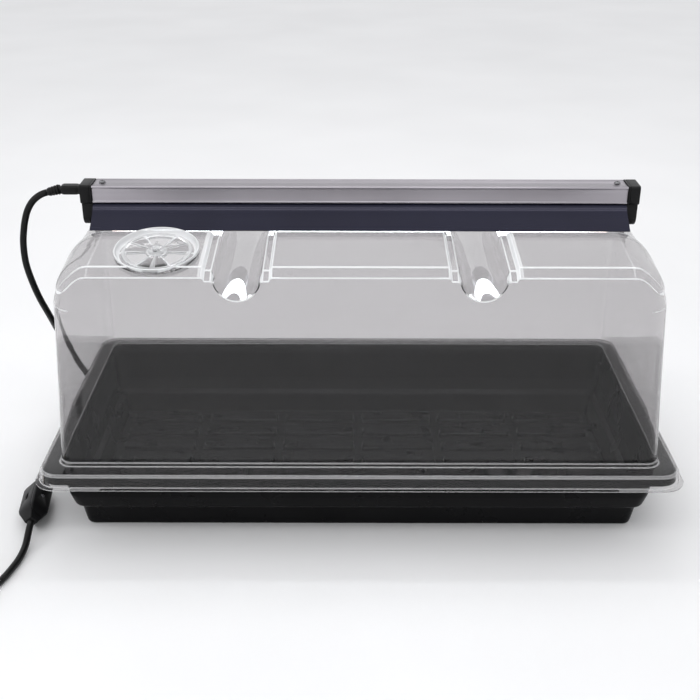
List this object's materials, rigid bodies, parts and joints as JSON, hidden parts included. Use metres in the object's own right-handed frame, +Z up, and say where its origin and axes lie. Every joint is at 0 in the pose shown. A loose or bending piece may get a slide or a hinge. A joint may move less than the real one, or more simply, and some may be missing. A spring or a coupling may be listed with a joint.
{
  "type": "humidity dome tray",
  "caption": "Long black nursery tray under a tall clear dome with round turning vents, a strip grow light along the roof and a coiled lead.",
  "frame": {"origin": "middle of the tray's underside, on the surface it stands on", "axes": "+X along the tray, away from the lead; +Y across it, to the back; +Z up"},
  "size_m": [0.6909, 0.4055, 0.2875],
  "materials": {
    "tray_black": "thermoformed black plastic, glossy",
    "clear_plastic": "clear thermoformed plastic",
    "aluminium": "extruded and lightly brushed",
    "reflector": "dark coated sheet, mirror inside",
    "black_plastic": "moulded, fine texture",
    "lamp_glass": "white phosphor-coated glass",
    "steel": "zinc plated",
    "brass": "plain",
    "circuit_board": "green laminate",
    "copper": "enamelled winding",
    "white_plastic": "moulded",
    "cord_black": "soft black jacket"
  },
  "bodies": {
    "tray": {"tray_shell": "tray_black", "cord_from_light": "cord_black", "cord_to_coil": "cord_black", "cord_to_plug": "cord_black", "cord_coil": "cord_black", "switch_body": "black_plastic", "switch_cover": "black_plastic", "switch_screw": "steel", "plug_body": "cord_black", "plug_blade_1": "brass", "plug_blade_2": "brass", "plug_ground_pin": "brass"},
    "dome": {"dome_shell": "clear_plastic", "vent_rivet_front": "clear_plastic", "vent_rivet_rear": "clear_plastic"},
    "vent_front": {"vent_disc_front": "clear_plastic"},
    "vent_rear": {"vent_disc_rear": "clear_plastic"},
    "light": {"light_housing": "aluminium", "end_cap_left": "black_plastic", "end_cap_right": "black_plastic", "lampholder_left": "black_plastic", "lampholder_right": "black_plastic", "reflector": "reflector", "housing_screw_left": "steel", "housing_screw_right": "steel", "ballast_board": "circuit_board", "ballast_inductor": "copper", "ballast_capacitor": "black_plastic", "inlet_pin_1": "brass", "inlet_pin_2": "brass", "cord_connector": "cord_black", "strain_relief": "cord_black"},
    "lamp": {"lamp_tube": "lamp_glass", "lamp_cap_left": "aluminium", "lamp_cap_right": "aluminium", "lamp_pin_left_1": "brass", "lamp_pin_left_2": "brass", "lamp_pin_right_1": "brass", "lamp_pin_right_2": "brass", "rotor_left": "white_plastic", "rotor_right": "white_plastic"},
    "switch_wheel": {"switch_wheel": "black_plastic"}
  },
  "joints": [
    {"name": "light_lift", "type": "slide", "parent": "tray", "child": "light", "axis": [0, 0, 1], "range_m": [0, 0.2]},
    {"name": "dome_lift", "type": "slide", "parent": "tray", "child": "dome", "axis": [0, 0, 1], "range_m": [0, 0.1]},
    {"name": "vent_turn_front", "type": "hinge", "parent": "dome", "child": "vent_front", "pos_m": [-0.1675, -0.078, 0.2495], "axis": [0, -0.1736, 0.9848], "range_deg": [0, 60]},
    {"name": "vent_turn_rear", "type": "hinge", "parent": "dome", "child": "vent_rear", "pos_m": [0.1675, 0.078, 0.2495], "axis": [0, 0.1736, 0.9848], "range_deg": [0, 60]},
    {"name": "lamp_twist", "type": "hinge", "parent": "light", "child": "lamp", "pos_m": [0, 0, 0.2606], "axis": [1, 0, 0], "range_deg": [0, 90]},
    {"name": "switch_turn", "type": "hinge", "parent": "tray", "child": "switch_wheel", "pos_m": [-0.29657, -0.08982, 0.01467], "axis": [0.7603, 0.0939, 0.6428], "range_deg": [0, 90]}
  ],
  "couplings": [
    {"joint": "dome_lift", "follows": "light_lift", "ratio": 0.5}
  ]
}
